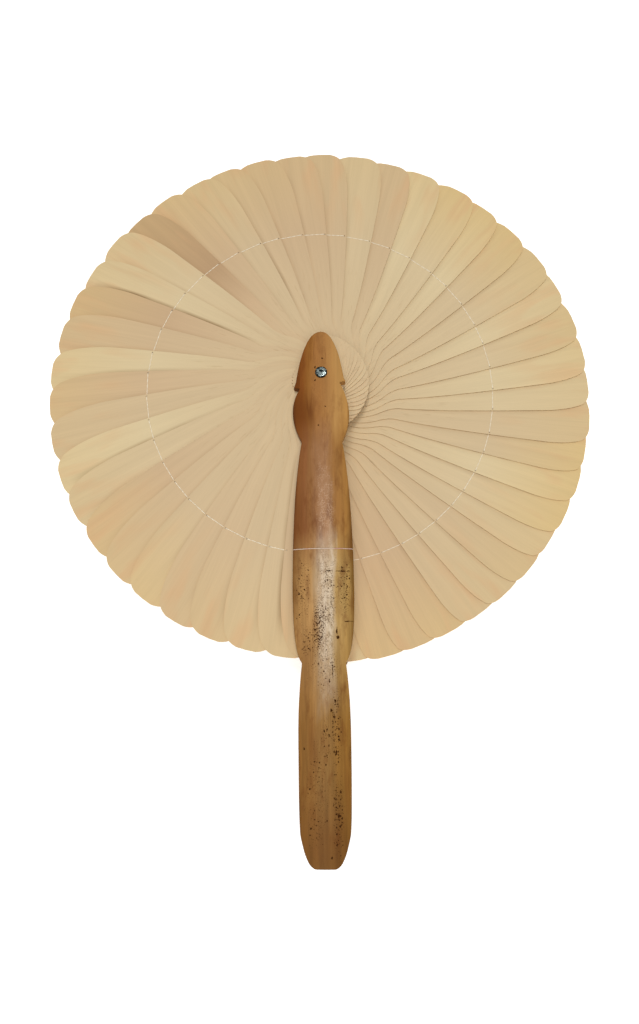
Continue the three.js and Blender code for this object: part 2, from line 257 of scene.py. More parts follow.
def cut_out(name, points, bottom, thickness):
    """Saws a flat sheet to an outline and gives it its thickness."""
    piece = walk(name, [p + Vector((0.0, 0.0, bottom)) for p in points])
    bpy.ops.mesh.select_all(action="SELECT")
    bpy.ops.mesh.remove_doubles(threshold=0.01 * MM)
    bpy.ops.mesh.edge_face_add()
    bpy.ops.mesh.extrude_region_move(TRANSFORM_OT_translate={"value": (0, 0, thickness)})
    bpy.ops.mesh.select_all(action="SELECT")
    bpy.ops.mesh.normals_make_consistent(inside=False)
    bpy.ops.object.mode_set(mode="OBJECT")
    return piece


def trim(piece, tool, operation):
    """Cuts a piece with another solid, which is then thrown away."""
    take(piece)
    cut = piece.modifiers.new("cut", "BOOLEAN")
    cut.object = tool
    cut.operation = operation
    cut.solver = "MANIFOLD"
    bpy.ops.object.modifier_apply(modifier=cut.name)
    bpy.data.objects.remove(tool)


def drill(piece, x, y, radius, low, high, sides):
    """Drills a straight hole through a piece."""
    bpy.ops.object.select_all(action="DESELECT")
    bpy.ops.mesh.primitive_cylinder_add(
        vertices=sides, radius=radius, depth=high - low, location=(x, y, (low + high) / 2)
    )
    trim(piece, bpy.context.object, "DIFFERENCE")


guard_below_waist = []
curve_start = (WAIST, WAIST_AT)
for handle, curve_end, steps in GUARD_CURVES:
    guard_below_waist += bezier([curve_start, handle, curve_end], steps)
    curve_start = curve_end
guard_below_waist.append(Vector((0.0, curve_end[1])))
guard_right = half_head(GUARD_HEAD_LENGTH, RIGHT_BARB, RIGHT_BARB_AT, RIGHT_BULGE)
guard_left = half_head(GUARD_HEAD_LENGTH, LEFT_BARB, LEFT_BARB_AT, LEFT_BULGE)
# the barbs are left a little long, and get their points when they are cut below
sawn_right, sawn_left = list(guard_right), list(guard_left)
for sawn in (sawn_right, sawn_left):
    sawn[BARB_INDEX] = sawn[BARB_INDEX] + Vector((BARB_SPARE, 0.0))
front_guard = cut_out(
    "bamboo_front_guard",
    round_trip(sawn_right + guard_below_waist, sawn_left + guard_below_waist),
    FRONT_GUARD_BACK, SAWN_THICKNESS * MM,
)

culm_axis = FRONT_GUARD_BACK + MM * (
    GUARD_THICKNESS - math.sqrt(CULM_RADIUS ** 2 - (PLANED_WIDTH / 2) ** 2)
)
bpy.ops.object.select_all(action="DESELECT")
bpy.ops.mesh.primitive_cylinder_add(
    vertices=CULM_SIDES, radius=CULM_RADIUS * MM, depth=CULM_LENGTH * MM,
    location=(0.0, CULM_MIDDLE * MM, culm_axis), rotation=(math.pi / 2, 0.0, 0.0),
)
culm = bpy.context.object
settle(culm)
edit_all(culm)
bpy.ops.mesh.bisect(
    plane_co=(0.0, 0.0, FRONT_GUARD_BACK + GUARD_THICKNESS * MM),
    plane_no=(0.0, 0.0, 1.0), use_fill=True, clear_outer=True,
)
bpy.ops.object.mode_set(mode="OBJECT")
trim(front_guard, culm, "INTERSECT")

# a slightly smaller copy of the stick stands for the floor of the thread's groove
groove_floor = copied(front_guard, "groove_floor")
edit_all(groove_floor)
bpy.ops.transform.resize(
    value=GROOVE_FLOOR_SHARE, center_override=(0.0, -THREAD_AT * MM, FRONT_GUARD_BACK)
)
bpy.ops.object.mode_set(mode="OBJECT")

take(front_guard)
even = front_guard.modifiers.new("even mesh", "REMESH")
even.mode = "VOXEL"
even.voxel_size = GUARD_FACE_SIZE * MM
bpy.ops.object.modifier_apply(modifier=even.name)
worn = front_guard.modifiers.new("worn edges", "SMOOTH")
worn.factor = 0.5
worn.iterations = 3
bpy.ops.object.modifier_apply(modifier=worn.name)

# the plane and years of hands leave long shallow hollows, all below the skin, given
# by how far across and along they reach and how deep they are
HOLLOWS = ((5.0, 45.0, 0.22), (1.6, 26.0, 0.07))
hollows = bpy.data.textures.new("long_hollows", "CLOUDS")
hollows.noise_scale = 1.0
for across_size, along_size, depth in HOLLOWS:
    bpy.ops.object.empty_add(location=(0.0, 0.0, 0.0))
    stretch = bpy.context.object
    stretch.scale = (across_size * MM, along_size * MM, across_size * MM)
    take(front_guard)
    dent = front_guard.modifiers.new("hollows", "DISPLACE")
    dent.texture = hollows
    dent.texture_coords = "OBJECT"
    dent.texture_coords_object = stretch
    dent.direction = "NORMAL"
    dent.mid_level = 1.0
    dent.strength = depth * MM
    bpy.ops.object.modifier_apply(modifier=dent.name)
    bpy.data.objects.remove(stretch)

# the undersides of the barbs are cut square with a knife
for half, side in ((guard_right, 1), (guard_left, -1)):
    barb_point, notch_point = half[BARB_INDEX], half[BARB_INDEX + 1]
    reach = barb_point + (barb_point - notch_point) * KNIFE_REACH
    curve = half[BARB_INDEX + 1:BARB_INDEX + 1 + KNIFE_POINTS]
    outside = curve[-1] + Vector((KNIFE_SPARE, 0.0))
    wedge = [notch_point, reach, outside] + curve[:0:-1] + [notch_point]
    points = [Vector((side * p.x * MM, -p.y * MM, 0.0)) for p in wedge]
    knife = cut_out("barb_knife", points, FRONT_GUARD_BACK - MM, (SAWN_THICKNESS + 1) * MM)
    trim(front_guard, knife, "DIFFERENCE")

# the thread bites a narrow groove round the stick
bpy.ops.object.select_all(action="DESELECT")
bpy.ops.mesh.primitive_cube_add(
    size=1.0, location=(0.0, -THREAD_AT * MM, FRONT_GUARD_BACK + GUARD_THICKNESS / 2 * MM),
    scale=(GROOVE_BLOCK_WIDTH * MM, THREAD_GROOVE_WIDTH * MM, GROOVE_BLOCK_HEIGHT * MM),
)
groove = bpy.context.object
settle(groove)
trim(groove, groove_floor, "DIFFERENCE")
edit_all(groove)
bpy.ops.mesh.bisect(
    plane_co=(0.0, 0.0, FRONT_GUARD_BACK + THREAD_GROOVE_FROM * MM),
    plane_no=(0.0, 0.0, 1.0), use_fill=True, clear_inner=True,
)
bpy.ops.object.mode_set(mode="OBJECT")
trim(front_guard, groove, "DIFFERENCE")
bpy.ops.object.shade_smooth_by_angle(angle=math.radians(40))

stack_middle = (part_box("front_guard")[1].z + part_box("rear_guard")[0].z) / 2


def mirrored(piece, name):
    """Copies a piece of the front and turns it to face back behind the blades."""
    copy = copied(piece, name)
    edit_all(copy)
    bpy.ops.transform.resize(value=(1, 1, -1), center_override=(0.0, 0.0, stack_middle))
    bpy.ops.mesh.flip_normals()
    bpy.ops.object.mode_set(mode="OBJECT")
    return copy


# the rear guard is the same stick turned to face down, so it is copied here
rear_guard = mirrored(front_guard, "bamboo_rear_guard")
drill(
    front_guard, 0.0, 0.0, BORE_RADIUS * MM,
    FRONT_GUARD_BACK - MM, ABOVE_FAN * MM, GUARD_BORE_SIDES,
)

# three old knife nicks, given as x, y, half length and turn in degrees
NICKS = ((2.1, -88.4, 0.9, 4.0), (7.9, -88.7, 2.5, -2.0), (10.2, -109.3, 1.8, 3.0))
NICK_WIDTH = 0.26
NICK_HEIGHT = 2.2
NICK_SLANT = 0.3
for x, y, half_length, turn_degrees in NICKS:
    bpy.ops.object.select_all(action="DESELECT")
    bpy.ops.mesh.primitive_cube_add(
        size=1.0, location=(x * MM, y * MM, FRONT_GUARD_BACK + GUARD_THICKNESS * MM),
        scale=(2 * half_length * MM, NICK_WIDTH * MM, NICK_HEIGHT * MM),
        rotation=(NICK_SLANT, 0.0, math.radians(turn_degrees)),
    )
    trim(front_guard, bpy.context.object, "DIFFERENCE")

# Split bamboo, planed by hand and darkened by years of handling: long bands of
# brown, fine fibre streaks, black mould specks, knife nicks, and a crazed pale strip
# with a dull shine where the skin was planed.
bamboo = new_material("planed_split_bamboo")
place = node(bamboo, "TexCoord")["Object"]
place_mm = node(bamboo, "VectorMath", {0: place, "Scale": 1000.0}, operation="SCALE")["Vector"]
axes = node(bamboo, "SeparateXYZ", {0: place_mm})


def wood_patches(wood, where, sizes, detail, roughness=0.5):
    """Soft uneven patches that run with the fibres, with their sizes in mm."""
    stretched = node(wood, "Mapping", {
        "Vector": where, "Scale": [1 / size for size in sizes],
    })[0]
    return node(wood, "TexNoise", {
        "Vector": stretched, "Scale": 1.0, "Detail": detail, "Roughness": roughness,
    })["Fac"]


# the bands waver by 1.5 mm over 30 mm
waver = wood_patches(bamboo, place_mm, (5.0, 30.0, 5.0), 3.0, 0.6)
band_shift = node(bamboo, "MapRange", {"Value": waver, "To Min": -3.0, "To Max": 3.0})[0]
band_place = node(bamboo, "Math", {0: axes["X"], 1: band_shift}, operation="ADD")[0]
across = node(bamboo, "MapRange", {"Value": band_place, "From Min": -12.5, "From Max": 12.5})[0]
along_shift = node(bamboo, "MapRange", {"Value": waver, "To Min": -12.0, "To Max": 12.0})[0]
along = node(bamboo, "Math", {0: axes["Y"], 1: along_shift}, operation="ADD")[0]
# the darkest stops at both ends of each ramp are painted shade down the stick's rounded sides
head_bands = (
    (0.0, "#5A3210"), (0.06, "#7C4512"), (0.16, "#844B18"), (0.30, "#946026"),
    (0.42, "#A06C36"), (0.56, "#AA773F"), (0.76, "#B8894D"), (0.93, "#BA894A"), (1.0, "#845820"),
)
body_bands = (
    (0.0, "#562C0E"), (0.09, "#825026"), (0.22, "#8E5A31"), (0.31, "#966638"),
    (0.37, "#9E6E44"), (0.60, "#A2744A"), (0.69, "#9C6C38"), (0.90, "#A47438"), (1.0, "#704A1E"),
)
lower_bands = (
    (0.0, "#764E22"), (0.10, "#AC804A"), (0.29, "#B68A54"), (0.38, "#B29066"),
    (0.50, "#AE8C64"), (0.63, "#B0905E"), (0.71, "#B69258"), (0.90, "#AE884C"), (1.0, "#7C5824"),
)
grip_bands = (
    (0.0, "#5A3410"), (0.10, "#8E612C"), (0.30, "#966A34"), (0.50, "#966E3A"),
    (0.70, "#8C622A"), (0.90, "#8F6429"), (1.0, "#583410"),
)
bands = node(bamboo, "ValToRGB", {"Fac": across}, stops=head_bands)["Color"]
for stops, first, last in (
    (body_bands, -21.0, -33.0), (lower_bands, -70.0, -88.0), (grip_bands, -112.0, -150.0)
):
    share = node(bamboo, "MapRange", {"Value": along, "From Min": first, "From Max": last})[0]
    zone = node(bamboo, "ValToRGB", {"Fac": across}, stops=stops)["Color"]
    bands = node(bamboo, "Mix", {0: share, 6: bands, 7: zone}, data_type="RGBA")[2]

# fibre bundles 0.6 mm wide run 30 mm along the stick, and broader streaks 2.6 mm wide;
# both are faint on the head, and the grip's end is browner
fibre = wood_patches(bamboo, place_mm, (0.6, 30.0, 0.6), 4.0, 0.75)
streak = wood_patches(bamboo, place_mm, (2.6, 34.0, 2.6), 3.0, 0.6)
fibre_depth = node(bamboo, "MapRange", {
    "Value": along, "From Min": -20.0, "From Max": -130.0, "To Min": 0.3, "To Max": 0.85,
})[0]
unevenness = node(bamboo, "Math", {0: fibre, 1: streak}, operation="ADD")[0]
fibre_tone = node(bamboo, "Math", {
    0: node(bamboo, "Math", {0: unevenness, 1: 1.02}, operation="SUBTRACT")[0],
    1: fibre_depth, 2: 1.0,
}, operation="MULTIPLY_ADD")[0]
end_tone = node(bamboo, "MapRange", {
    "Value": along, "From Min": -165.0, "From Max": -204.0, "To Min": 1.0, "To Max": 0.76,
})[0]
wood_tone = node(bamboo, "Math", {0: fibre_tone, 1: end_tone}, operation="MULTIPLY")[0]
bands = node(bamboo, "VectorMath", {0: bands, "Scale": wood_tone}, operation="SCALE")[0]

# stains 4 mm wide and 12 mm long, lightest on the head
stain = wood_patches(bamboo, place_mm, (4.0, 12.0, 4.0), 5.0, 0.66)
streak_shift = node(bamboo, "MapRange", {"Value": streak, "To Min": -3.5, "To Max": 3.5})[0]
streaked_across = node(bamboo, "Math", {0: band_place, 1: streak_shift}, operation="ADD")[0]
patch_place = node(bamboo, "CombineXYZ", {"X": streaked_across, "Y": axes["Y"]})[0]
stain_strength = node(bamboo, "MapRange", {
    "Value": along, "From Min": -50.0, "From Max": -20.0, "To Min": 0.6, "To Max": 0.35,
})[0]
stain_and_shade_amount = node(bamboo, "Math", {
    0: node(bamboo, "MapRange", {"Value": stain, "From Min": 0.50, "From Max": 0.72})[0],
    1: stain_strength,
}, operation="MULTIPLY")[0]


def spot(where, x, y, half_across, half_along, strength, softness):
    """An ellipse on the stick in mm, from 0 outside to its strength inside."""
    nearness = node(bamboo, "VectorMath", {0: node(bamboo, "Mapping", {
        "Vector": where,
        "Location": (-x / half_across, -y / half_along, 0.0),
        "Scale": (1 / half_across, 1 / half_along, 0.0),
    })[0]}, operation="LENGTH")["Value"]
    return node(bamboo, "MapRange", {
        "Value": nearness, "From Min": 1.0 + softness, "From Max": 1.0 - softness,
        "To Max": strength,
    })[0]


def darkest(masks):
    """The largest of several masks."""
    most = masks[0]
    for mask in masks[1:]:
        most = node(bamboo, "Math", {0: most, 1: mask}, operation="MAXIMUM")[0]
    return most


# dark patches from hands, as centre x, y, half sizes in mm, strength and softness; the one at
# -10.8, -3.5 is painted shade along the left barb's edge
PATCHES = (
    (-8.4, -17.5, 5.0, 8.0, 0.6, 0.6), (-4.8, -17.0, 1.9, 7.5, 0.8, 0.7),
    (-7.5, -29.0, 4.0, 3.2, 0.22, 0.7),
    (-10.8, -3.5, 1.6, 5.5, 0.66, 0.6), (-8.5, -66.0, 2.1, 8.0, 0.25, 0.7),
    (-7.4, -126.0, 2.6, 9.0, 0.3, 0.7), (-4.8, -158.0, 1.9, 11.0, 0.42, 0.7),
    (3.4, -193.0, 1.8, 6.0, 0.6, 0.7), (0.0, -196.0, 10.0, 15.0, 0.46, 0.7),
    (-4.8, -185.0, 1.1, 6.5, 0.45, 0.7), (-2.4, 11.0, 0.4, 4.5, 0.4, 0.7),
    (1.4, 9.5, 0.4, 4.0, 0.32, 0.7), (-4.4, 6.0, 0.4, 4.0, 0.35, 0.7),
    (9.0, -176.0, 1.2, 14.0, 0.35, 0.7), (-1.0, -172.0, 0.8, 9.0, 0.3, 0.7),
)
patches = [spot(patch_place, *patch) for patch in PATCHES]
stain_and_shade_amount = darkest([stain_and_shade_amount] + patches)
# mixes in the stains, the hand patches and the painted shade at the left barb's edge
bands = node(bamboo, "Mix", {
    0: stain_and_shade_amount, 6: bands, 7: linear("#6A370C"),
}, data_type="RGBA")[2]

# the planed strip, a little right of the middle, shines between the waist and the neck
from_strip = node(bamboo, "Math", {0: band_place, 1: 1.1}, operation="SUBTRACT")[0]
strip = node(bamboo, "MapRange", {
    "Value": node(bamboo, "Math", {0: from_strip}, operation="ABSOLUTE")[0],
    "From Min": 4.4, "From Max": 2.0,
})[0]
below_waist = node(bamboo, "MapRange", {"Value": along, "From Min": -32.0, "From Max": -50.0})[0]
above_neck = node(bamboo, "MapRange", {"Value": along, "From Min": -150.0, "From Max": -118.0})[0]
gloss = node(bamboo, "Math", {
    0: node(bamboo, "Math", {0: below_waist, 1: above_neck}, operation="MULTIPLY")[0], 1: strip,
}, operation="MULTIPLY")[0]

# its skin has weathered pale, most below the thread, and crazed into flakes about 0.8 mm wide and
# 1.2 mm long; the pale is partly a painted highlight of the lamp on the planed strip
below_thread = node(bamboo, "MapRange", {
    "Value": along, "From Min": -68.0, "From Max": -88.0, "To Min": 0.05, "To Max": 1.0,
})[0]
pale_wear_and_highlight = node(bamboo, "Math", {0: gloss, 1: below_thread}, operation="MULTIPLY")[0]
pale_patches = node(bamboo, "MapRange", {
    "Value": wood_patches(bamboo, place_mm, (1.4, 4.0, 1.4), 4.0, 0.7),
    "From Min": 0.38, "From Max": 0.62, "To Min": 0.38, "To Max": 0.8,
})[0]
pale_and_highlight_amount = node(bamboo, "Math", {0: pale_wear_and_highlight, 1: pale_patches}, operation="MULTIPLY")[0]
# pale weathered skin, partly a painted highlight on the strip
bands = node(bamboo, "Mix", {
    0: pale_and_highlight_amount, 6: bands, 7: linear("#DECAAE"),
}, data_type="RGBA")[2]
ragged = node(bamboo, "TexNoise", {"Vector": place_mm, "Scale": 1.6, "Detail": 2.0})["Color"]
ragged = node(bamboo, "VectorMath", {0: ragged, 1: (0.5, 0.5, 0.5)}, operation="SUBTRACT")[0]
ragged_place = node(bamboo, "VectorMath", {
    0: ragged, 1: (1.0, 1.0, 0.0), 2: place_mm,
}, operation="MULTIPLY_ADD")[0]
flakes = node(bamboo, "TexVoronoi", {
    "Vector": node(bamboo, "Mapping", {
        "Vector": ragged_place, "Scale": (1 / 0.8, 1 / 1.2, 1.0),
    })[0],
    "Scale": 1.0, "Randomness": 1.0,
}, feature="DISTANCE_TO_EDGE", voronoi_dimensions="2D")["Distance"]
crazing = node(bamboo, "MapRange", {"Value": flakes, "From Min": 0.2, "From Max": 0.04})[0]
broken = node(bamboo, "MapRange", {
    "Value": wood_patches(bamboo, place_mm, (1.1, 2.2, 1.1), 2.0),
    "From Min": 0.42, "From Max": 0.6, "To Max": 0.72,
})[0]
cracks = node(bamboo, "Math", {0: crazing, 1: broken}, operation="MULTIPLY")[0]
crazed = node(bamboo, "Math", {0: cracks, 1: pale_wear_and_highlight}, operation="MULTIPLY")[0]
bands = node(bamboo, "Mix", {0: crazed, 6: bands, 7: linear("#6A4A2A")}, data_type="RGBA")[2]

# above the thread the strip's fine cracks are painted lighter, a painted highlight where they
# catch the light
crack_highlights = node(bamboo, "Math", {
    0: node(bamboo, "Math", {0: gloss, 1: pale_wear_and_highlight}, operation="SUBTRACT")[0], 1: cracks,
}, operation="MULTIPLY")[0]
# the painted highlight along the cracks
bands = node(bamboo, "Mix", {
    0: crack_highlights, 6: bands, 7: linear("#C29B78"),
}, data_type="RGBA")[2]

# clouds of mould, as centre x, y, half sizes in mm and how thick the specks lie
CLOUDS = (
    (-2.4, -109.0, 2.2, 9.0, 0.35), (-8.6, -97.0, 3.2, 17.0, 0.66), (8.8, -94.0, 3.2, 14.0, 0.66),
    (1.6, -100.0, 4.0, 16.0, 0.6), (-6.0, -118.0, 4.0, 6.0, 0.6), (4.8, -152.0, 2.2, 15.0, 0.8),
    (0.4, -157.0, 2.0, 9.0, 0.75), (5.0, -183.0, 2.4, 18.0, 0.7), (-3.0, -178.0, 5.0, 22.0, 0.5),
    (0.0, -128.0, 7.0, 10.0, 0.55),
)
drift = node(bamboo, "MapRange", {
    "Value": wood_patches(bamboo, place_mm, (2.6, 7.0, 2.6), 3.0, 0.6),
    "From Min": 0.36, "From Max": 0.56, "To Min": 0.55,
})[0]
thickness = node(bamboo, "Math", {
    0: darkest([spot(place_mm, *cloud, 0.4) for cloud in CLOUDS]), 1: drift,
}, operation="MULTIPLY")[0]

# each cloud holds scattered specks up to 1.3 mm across and a dust of specks about
# 0.4 mm, which lies thick on the strip's left side above the neck
thick_dust = spot(place_mm, -2.0, -111.5, 2.4, 10.5, 1.0, 0.4)
specks = []
for width, length, rarity, reach, cover in (
    (2.0, 2.6, 3.0, 0.42, thickness), (1.1, 1.4, 2.6, 0.55, thickness),
    (0.55, 0.7, 1.3, 0.55, thickness), (0.52, 0.64, 0.6, 0.6, thick_dust),
):
    cells = node(bamboo, "TexVoronoi", {
        "Vector": node(bamboo, "Mapping", {
            "Vector": ragged_place, "Scale": (1 / width, 1 / length, 1.0),
        })[0],
        "Scale": 1.0, "Randomness": 1.0,
    }, voronoi_dimensions="2D")
    chance = node(bamboo, "SeparateColor", {0: cells["Color"]})[0]
    size = node(bamboo, "Math", {
        0: node(bamboo, "Math", {0: chance, 1: rarity}, operation="POWER")[0],
        1: node(bamboo, "Math", {0: cover, 1: reach}, operation="MULTIPLY")[0],
    }, operation="MULTIPLY")[0]
    specks.append(node(bamboo, "MapRange", {
        "Value": node(bamboo, "Math", {0: size, 1: cells["Distance"]}, operation="SUBTRACT")[0],
        "From Min": 0.0, "From Max": 0.08,
    })[0])

# pits, nicks and splits as centre x, y and half sizes in mm
MARKS = (
    (0.5, 6.7, 0.28, 0.4), (-2.7, 2.5, 0.26, 0.6), (-2.7, -3.6, 0.28, 0.45),
    (1.6, -15.9, 0.3, 0.34), (-1.3, -24.6, 0.28, 0.38),
    (5.8, -115.8, 0.6, 0.7), (5.4, -113.2, 0.26, 1.4),
    (2.4, -88.5, 0.8, 0.26), (8.1, -88.6, 0.8, 0.24), (10.5, -88.5, 0.6, 0.24),
    (7.9, -88.7, 2.6, 0.1), (9.4, -109.4, 0.8, 0.26), (11.0, -109.3, 1.4, 0.12),
    (3.5, -129.1, 0.17, 2.9), (4.3, -141.1, 0.3, 0.7), (2.8, -144.7, 0.4, 0.7),
    (4.6, -160.8, 0.34, 1.0), (0.4, -165.5, 0.3, 0.45), (-8.2, -159.3, 0.34, 0.5),
    (5.2, -184.4, 0.34, 0.8), (0.6, -186.2, 0.34, 0.45), (-5.6, -189.0, 0.34, 0.45),
    (2.4, -199.5, 0.3, 0.5),
)
marks = darkest(specks + [spot(ragged_place, *mark, 1.0, 0.25) for mark in MARKS])
bamboo_colour = node(bamboo, "Mix", {
    0: marks, 6: bands, 7: linear("#3A1C02"),
}, data_type="RGBA")[2]

# the planed strip is smoother than the skin beside it
skin_roughness = node(bamboo, "MapRange", {"Value": gloss, "To Min": 0.55, "To Max": 0.36})[0]
bamboo_roughness = node(bamboo, "Math", {
    0: marks, 1: 0.35, 2: skin_roughness,
}, operation="MULTIPLY_ADD")[0]
relief = node(bamboo, "Math", {
    0: node(bamboo, "Math", {0: fibre, 1: crazed}, operation="SUBTRACT")[0], 1: marks,
}, operation="SUBTRACT")[0]
bamboo_bump = node(bamboo, "Bump", {"Height": relief, "Strength": 0.3, "Distance": 0.12 * MM})[0]
bamboo_shader = node(bamboo, "BsdfPrincipled", {
    "Base Color": bamboo_colour, "Roughness": bamboo_roughness, "Normal": bamboo_bump,
    "IOR": 1.5, "Specular IOR Level": 0.16,
})
node(bamboo, "OutputMaterial", {"Surface": bamboo_shader["BSDF"]})

front_guard.data.materials.clear()
front_guard.data.materials.append(bamboo)
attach(front_guard, "front_guard")
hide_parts("front_guard")

# The rear guard is the same bamboo stick behind the blades, skin side down. The
# nail is clinched over in a shallow seat cut into its back.
TAIL_SEAT_RADIUS = 2.6
TAIL_SEAT_DEPTH = 0.9
for radius, top in (
    (BORE_RADIUS, GUARD_THICKNESS + 2), (TAIL_SEAT_RADIUS, TAIL_SEAT_DEPTH)
):
    drill(rear_guard, 0.0, 0.0, radius * MM, -MM, top * MM, GUARD_BORE_SIDES)
rear_guard.data.materials.clear()
rear_guard.data.materials.append(bamboo)
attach(rear_guard, "rear_guard")
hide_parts("rear_guard")

# The blades are forty-seven slips of pale sliced veneer, punched for the nail and the
# thread. Each lies over its clockwise neighbour and is tipped a little, as roof tiles
# are. The first are trimmed round, and the last square and a little slanted.
BLADE_COUNT = 47
BLADE_THICKNESS = 0.35
BLADE_PITCH = 0.55
LOWEST_BLADE = 6.2
BLADE_HEAD_LENGTH = 21.6
BLADE_SIDE = 14.3
BLADE_FLARE, BLADE_FLARE_AT = 12.0, WAIST_AT + 18.0
FAN_RADIUS = 125.0
BODY_STEPS, EASING_STEPS, TIP_STEPS = 20, 5, 8
EASED_POINTS = 3
PAST_WAIST = 30
TIP_ANGLE = 0.010
TRIM_FROM = 88.0
TRIM_MOST = 0.8
BLADE_BORE_SIDES = 20
THREAD_HOLE_RADIUS = 0.32
THREAD_HOLE_EDGE = 0.6
THREAD_HOLE_SIDES = 10
# the curve of a tip from its side to its end, as half width and drop from the rim
ROUND_TIP = ((BLADE_SIDE, 30.0), (BLADE_SIDE, 14.0), (10.7, 5.5), (8.7, 1.4), (4.2, 0.2))
SQUARE_TIP = ((BLADE_SIDE, 15.0), (BLADE_SIDE, 6.5), (12.6, 2.6), (11.4, 0.5), (7.0, 0.0))
SLANT_TIP = ((BLADE_SIDE, 15.0), (BLADE_SIDE, 7.5), (12.0, 4.2), (9.5, 2.0), (3.0, 0.3))


def half_blade(barb, barb_at, bulge, tip):
    """Half of a blade's outline, its waist eased round and its tip trimmed."""
    widest, side, shoulder, corner, end = (Vector((w, FAN_RADIUS - drop)) for w, drop in tip)
    head = half_head(BLADE_HEAD_LENGTH, barb, barb_at, bulge)
    body = bezier([(WAIST, WAIST_AT), (BLADE_FLARE, BLADE_FLARE_AT), widest], BODY_STEPS)
    eased = bezier([head[-1 - EASED_POINTS], head[-1], body[1]], EASING_STEPS)
    return (
        head[:-EASED_POINTS] + eased + body[2:]
        + bezier([widest, side, shoulder], TIP_STEPS)
        + bezier([shoulder, corner, end], TIP_STEPS)
        + [Vector((0.0, FAN_RADIUS))]
    )


def half_width_at(half, distance):
    """Half width of a blade's outline at a distance from the nail, past its waist."""
    for inner, outer in zip(half[PAST_WAIST:], half[PAST_WAIST + 1:]):
        if inner.y <= distance <= outer.y:
            return inner.x + (outer.x - inner.x) * (distance - inner.y) / (outer.y - inner.y)


trimmed = {}
thread_edge = {}
for name, left_tip, right_tip in (
    ("round_blade", ROUND_TIP, ROUND_TIP), ("square_blade", SQUARE_TIP, SLANT_TIP)
):
    right = half_blade(RIGHT_BARB, RIGHT_BARB_AT, RIGHT_BULGE, right_tip)
    left = half_blade(LEFT_BARB, LEFT_BARB_AT, LEFT_BULGE, left_tip)
    trimmed[name] = cut_out(name, round_trip(right, left), 0.0, BLADE_THICKNESS * MM)
    thread_edge[name] = half_width_at(left, THREAD_AT)
master_blade = trimmed["round_blade"]
take(master_blade)
trimmed["square_blade"].select_set(True)
bpy.ops.object.join_shapes()
bpy.data.objects.remove(trimmed["square_blade"])

# Sliced veneer, left bare: straight fine grain, each slip its own shade of cream or pinkish tan,
# yellower towards the rim where light has reached it. Some slips are also painted darker or
# lighter, as painted shade and light for how each lies to the lamps.
veneer = new_material("sliced_pale_veneer")
along_grain = node(veneer, "Attribute", attribute_name="along_grain")["Vector"]
tone = node(veneer, "Attribute", attribute_name="tone")["Vector"]
tones = node(veneer, "SeparateXYZ", {0: tone})
MIDDLE_TONE = 0.44
blade_axes = node(veneer, "SeparateXYZ", {0: along_grain})
from_nail = node(veneer, "MapRange", {
    "Value": blade_axes["Y"], "From Min": -32.0, "From Max": -80.0, "To Min": 0.2, "To Max": 1.0,
})[0]
blade_tone = node(veneer, "Math", {
    0: node(veneer, "Math", {0: tones["X"], 1: MIDDLE_TONE}, operation="SUBTRACT")[0],
    1: from_nail, 2: MIDDLE_TONE,
}, operation="MULTIPLY_ADD")[0]
veneer_base = node(veneer, "ValToRGB", {"Fac": blade_tone}, stops=(
    (0.0, "#E0CBA0"), (0.45, "#D6BD95"), (0.75, "#D1B28B"), (1.0, "#BF9D76"),
))["Color"]
rim = node(veneer, "MapRange", {
    "Value": blade_axes["Y"], "From Min": -80.0, "From Max": -124.0, "To Min": 0.0, "To Max": 0.55,
})[0]
yellowed = node(veneer, "Math", {0: rim, 1: tones["Y"]}, operation="MULTIPLY")[0]
veneer_base = node(veneer, "Mix", {
    0: yellowed, 6: veneer_base, 7: linear("#DFC084"),
}, data_type="RGBA")[2]
# peach blotches 8 mm wide and 30 mm long warm the outer halves
blotch = wood_patches(veneer, along_grain, (8.0, 30.0, 1.0), 2.0)
peach = node(veneer, "Math", {
    0: node(veneer, "MapRange", {
        "Value": blotch, "From Min": 0.5, "From Max": 0.66, "To Max": 0.42,
    })[0],
    1: node(veneer, "MapRange", {
        "Value": blade_axes["Y"], "From Min": -75.0, "From Max": -116.0,
    })[0],
}, operation="MULTIPLY")[0]
veneer_base = node(veneer, "Mix", {
    0: peach, 6: veneer_base, 7: linear("#DDAF80"),
}, data_type="RGBA")[2]
# a painted shadow of the neighbouring blade's edge makes a blade greyer along the line where that
# edge covers it, about 1.5 mm wide; that edge widens from the waist to its full width by a power
# curve
FULL_WIDTH_AT = 103.6
WIDENING = 1.6
overlap = node(veneer, "Math", {
    0: node(veneer, "Math", {
        0: blade_axes["X"], 1: node(veneer, "Math", {0: tones["Z"]}, operation="COSINE")[0],
    }, operation="MULTIPLY")[0],
    1: node(veneer, "Math", {
        0: blade_axes["Y"], 1: node(veneer, "Math", {0: tones["Z"]}, operation="SINE")[0],
    }, operation="MULTIPLY")[0],
}, operation="ADD")[0]
to_full_width = node(veneer, "MapRange", {
    "Value": blade_axes["Y"], "From Min": -WAIST_AT, "From Max": -FULL_WIDTH_AT,
    "To Min": 1.0, "To Max": 0.0,
})[0]
cover_edge = node(veneer, "Math", {
    0: node(veneer, "Math", {0: to_full_width, 1: WIDENING}, operation="POWER")[0],
    1: WAIST - BLADE_SIDE, 2: BLADE_SIDE,
}, operation="MULTIPLY_ADD")[0]
past_edge = node(veneer, "Math", {0: overlap, 1: cover_edge}, operation="ADD")[0]
neighbour_shade_band = node(veneer, "MapRange", {"Value": past_edge, "From Min": -1.8, "From Max": 0.1})[0]
before_tip = node(veneer, "MapRange", {
    "Value": blade_axes["Y"], "From Min": -121.0, "From Max": -108.0,
})[0]
